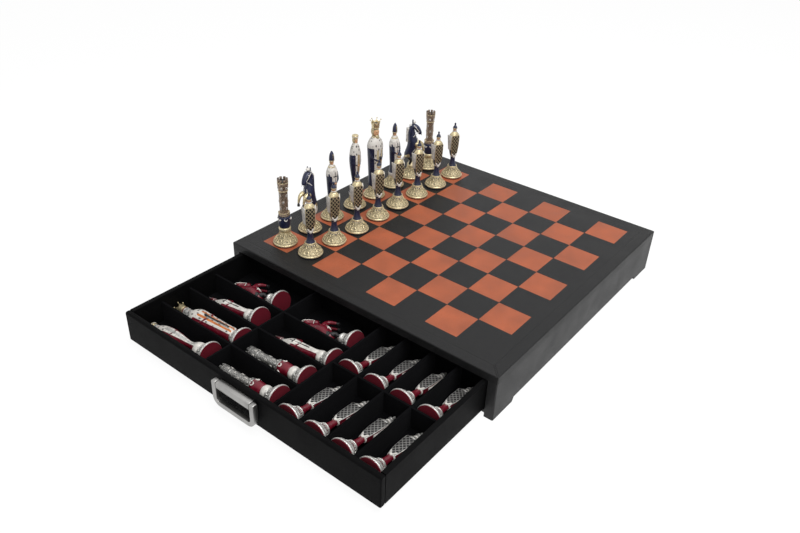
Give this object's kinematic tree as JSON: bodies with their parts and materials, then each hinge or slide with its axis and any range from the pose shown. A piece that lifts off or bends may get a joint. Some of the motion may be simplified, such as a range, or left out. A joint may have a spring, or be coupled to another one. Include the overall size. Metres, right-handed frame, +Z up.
{
  "type": "chess box",
  "caption": "Square chess board box on corner feet, with divided storage drawers, swinging bail handles and cast figure chessmen standing on the board and lying in the drawer.",
  "frame": {"origin": "middle of the box's flat underside, 4.5 mm above the table that the feet stand on", "axes": "+Z up; -Y towards the open front drawer; +X from the blue army's back rank towards the empty side of the board"},
  "size_m": [0.324, 0.4749, 0.142],
  "materials": {
    "black_leatherette": "board wrapped in black leatherette, satin, fine grain",
    "terracotta_leather": "terracotta leatherette, satin, fine grain",
    "black_velvet": "short pile velvet",
    "satin_nickel": "satin nickel",
    "blue_army": "cast metal painted navy, cream and gold, felt below",
    "red_army": "cast metal painted dark red, white and silver, felt below"
  },
  "bodies": {
    "box": {"top_panel": "black_leatherette", "light_squares": "terracotta_leather", "left_wall": "black_leatherette", "right_wall": "black_leatherette", "bottom_panel": "black_leatherette", "centre_rail": "black_leatherette", "corner_feet": "black_leatherette"},
    "front_drawer": {"front_drawer_front_board": "black_leatherette", "front_drawer_side_boards": "black_leatherette", "front_drawer_back_board": "black_leatherette", "front_drawer_bottom_board": "black_leatherette", "front_drawer_lining": "black_velvet", "front_drawer_dividers": "black_velvet", "front_drawer_handle_bracket": "satin_nickel", "front_drawer_handle_pins": "satin_nickel", "front_drawer_handle_screws": "satin_nickel"},
    "front_drawer_bail": {"front_drawer_handle_bail": "satin_nickel"},
    "back_drawer": {"back_drawer_front_board": "black_leatherette", "back_drawer_side_boards": "black_leatherette", "back_drawer_back_board": "black_leatherette", "back_drawer_bottom_board": "black_leatherette", "back_drawer_lining": "black_velvet", "back_drawer_dividers": "black_velvet", "back_drawer_handle_bracket": "satin_nickel", "back_drawer_handle_pins": "satin_nickel", "back_drawer_handle_screws": "satin_nickel"},
    "back_drawer_bail": {"back_drawer_handle_bail": "satin_nickel"},
    "blue_pawn_1": {"blue_pawn_1": "blue_army"},
    "blue_pawn_2": {"blue_pawn_2": "blue_army"},
    "blue_pawn_3": {"blue_pawn_3": "blue_army"},
    "blue_pawn_4": {"blue_pawn_4": "blue_army"},
    "blue_pawn_5": {"blue_pawn_5": "blue_army"},
    "blue_pawn_6": {"blue_pawn_6": "blue_army"},
    "blue_pawn_7": {"blue_pawn_7": "blue_army"},
    "blue_pawn_8": {"blue_pawn_8": "blue_army"},
    "blue_front_rook": {"blue_front_rook": "blue_army"},
    "blue_front_knight": {"blue_front_knight": "blue_army"},
    "blue_front_bishop": {"blue_front_bishop": "blue_army"},
    "blue_queen": {"blue_queen": "blue_army"},
    "blue_king": {"blue_king": "blue_army"},
    "blue_back_bishop": {"blue_back_bishop": "blue_army"},
    "blue_back_knight": {"blue_back_knight": "blue_army"},
    "blue_back_rook": {"blue_back_rook": "blue_army"},
    "red_queen": {"red_queen": "red_army"},
    "red_king": {"red_king": "red_army"},
    "red_left_bishop": {"red_left_bishop": "red_army"},
    "red_left_knight": {"red_left_knight": "red_army"},
    "red_front_rook": {"red_front_rook": "red_army"},
    "red_back_rook": {"red_back_rook": "red_army"},
    "red_right_bishop": {"red_right_bishop": "red_army"},
    "red_right_knight": {"red_right_knight": "red_army"},
    "red_pawn_1": {"red_pawn_1": "red_army"},
    "red_pawn_2": {"red_pawn_2": "red_army"},
    "red_pawn_3": {"red_pawn_3": "red_army"},
    "red_pawn_4": {"red_pawn_4": "red_army"},
    "red_pawn_5": {"red_pawn_5": "red_army"},
    "red_pawn_6": {"red_pawn_6": "red_army"},
    "red_pawn_7": {"red_pawn_7": "red_army"},
    "red_pawn_8": {"red_pawn_8": "red_army"}
  },
  "joints": [
    {"name": "front_drawer_slide", "type": "slide", "parent": "box", "child": "front_drawer", "axis": [0, -1, 0], "range_m": [-0.1375, 0.006]},
    {"name": "back_drawer_slide", "type": "slide", "parent": "box", "child": "back_drawer", "axis": [0, 1, 0], "range_m": [0, 0.1435]},
    {"name": "front_bail_swing", "type": "hinge", "parent": "front_drawer", "child": "front_drawer_bail", "pos_m": [0, -0.3035, 0.0265], "axis": [-1, 0, 0], "range_deg": [0, 90]},
    {"name": "back_bail_swing", "type": "hinge", "parent": "back_drawer", "child": "back_drawer_bail", "pos_m": [0, 0.166, 0.0265], "axis": [1, 0, 0], "range_deg": [0, 90]},
    {"name": "blue_pawn_1_lift", "type": "slide", "parent": "box", "child": "blue_pawn_1", "axis": [0, 0, 1], "range_m": [0, 0.1]},
    {"name": "blue_pawn_2_lift", "type": "slide", "parent": "box", "child": "blue_pawn_2", "axis": [0, 0, 1], "range_m": [0, 0.1]},
    {"name": "blue_pawn_3_lift", "type": "slide", "parent": "box", "child": "blue_pawn_3", "axis": [0, 0, 1], "range_m": [0, 0.1]},
    {"name": "blue_pawn_4_lift", "type": "slide", "parent": "box", "child": "blue_pawn_4", "axis": [0, 0, 1], "range_m": [0, 0.1]},
    {"name": "blue_pawn_5_lift", "type": "slide", "parent": "box", "child": "blue_pawn_5", "axis": [0, 0, 1], "range_m": [0, 0.1]},
    {"name": "blue_pawn_6_lift", "type": "slide", "parent": "box", "child": "blue_pawn_6", "axis": [0, 0, 1], "range_m": [0, 0.1]},
    {"name": "blue_pawn_7_lift", "type": "slide", "parent": "box", "child": "blue_pawn_7", "axis": [0, 0, 1], "range_m": [0, 0.1]},
    {"name": "blue_pawn_8_lift", "type": "slide", "parent": "box", "child": "blue_pawn_8", "axis": [0, 0, 1], "range_m": [0, 0.1]},
    {"name": "blue_front_rook_lift", "type": "slide", "parent": "box", "child": "blue_front_rook", "axis": [0, 0, 1], "range_m": [0, 0.1]},
    {"name": "blue_front_knight_lift", "type": "slide", "parent": "box", "child": "blue_front_knight", "axis": [0, 0, 1], "range_m": [0, 0.1]},
    {"name": "blue_front_bishop_lift", "type": "slide", "parent": "box", "child": "blue_front_bishop", "axis": [0, 0, 1], "range_m": [0, 0.1]},
    {"name": "blue_queen_lift", "type": "slide", "parent": "box", "child": "blue_queen", "axis": [0, 0, 1], "range_m": [0, 0.1]},
    {"name": "blue_king_lift", "type": "slide", "parent": "box", "child": "blue_king", "axis": [0, 0, 1], "range_m": [0, 0.1]},
    {"name": "blue_back_bishop_lift", "type": "slide", "parent": "box", "child": "blue_back_bishop", "axis": [0, 0, 1], "range_m": [0, 0.1]},
    {"name": "blue_back_knight_lift", "type": "slide", "parent": "box", "child": "blue_back_knight", "axis": [0, 0, 1], "range_m": [0, 0.1]},
    {"name": "blue_back_rook_lift", "type": "slide", "parent": "box", "child": "blue_back_rook", "axis": [0, 0, 1], "range_m": [0, 0.1]},
    {"name": "red_queen_lift", "type": "slide", "parent": "front_drawer", "child": "red_queen", "axis": [0, 0, 1], "range_m": [0, 0.045]},
    {"name": "red_king_lift", "type": "slide", "parent": "front_drawer", "child": "red_king", "axis": [0, 0, 1], "range_m": [0, 0.045]},
    {"name": "red_left_bishop_lift", "type": "slide", "parent": "front_drawer", "child": "red_left_bishop", "axis": [0, 0, 1], "range_m": [0, 0.045]},
    {"name": "red_left_knight_lift", "type": "slide", "parent": "front_drawer", "child": "red_left_knight", "axis": [0, 0, 1], "range_m": [0, 0.045]},
    {"name": "red_front_rook_lift", "type": "slide", "parent": "front_drawer", "child": "red_front_rook", "axis": [0, 0, 1], "range_m": [0, 0.045]},
    {"name": "red_back_rook_lift", "type": "slide", "parent": "front_drawer", "child": "red_back_rook", "axis": [0, 0, 1], "range_m": [0, 0.045]},
    {"name": "red_right_bishop_lift", "type": "slide", "parent": "front_drawer", "child": "red_right_bishop", "axis": [0, 0, 1], "range_m": [0, 0.045]},
    {"name": "red_right_knight_lift", "type": "slide", "parent": "front_drawer", "child": "red_right_knight", "axis": [0, 0, 1], "range_m": [0, 0.045]},
    {"name": "red_pawn_1_lift", "type": "slide", "parent": "front_drawer", "child": "red_pawn_1", "axis": [0, 0, 1], "range_m": [0, 0.045]},
    {"name": "red_pawn_2_lift", "type": "slide", "parent": "front_drawer", "child": "red_pawn_2", "axis": [0, 0, 1], "range_m": [0, 0.045]},
    {"name": "red_pawn_3_lift", "type": "slide", "parent": "front_drawer", "child": "red_pawn_3", "axis": [0, 0, 1], "range_m": [0, 0.045]},
    {"name": "red_pawn_4_lift", "type": "slide", "parent": "front_drawer", "child": "red_pawn_4", "axis": [0, 0, 1], "range_m": [0, 0.045]},
    {"name": "red_pawn_5_lift", "type": "slide", "parent": "front_drawer", "child": "red_pawn_5", "axis": [0, 0, 1], "range_m": [0, 0.02]},
    {"name": "red_pawn_6_lift", "type": "slide", "parent": "front_drawer", "child": "red_pawn_6", "axis": [0, 0, 1], "range_m": [0, 0.02]},
    {"name": "red_pawn_7_lift", "type": "slide", "parent": "front_drawer", "child": "red_pawn_7", "axis": [0, 0, 1], "range_m": [0, 0.02]},
    {"name": "red_pawn_8_lift", "type": "slide", "parent": "front_drawer", "child": "red_pawn_8", "axis": [0, 0, 1], "range_m": [0, 0.02]}
  ]
}
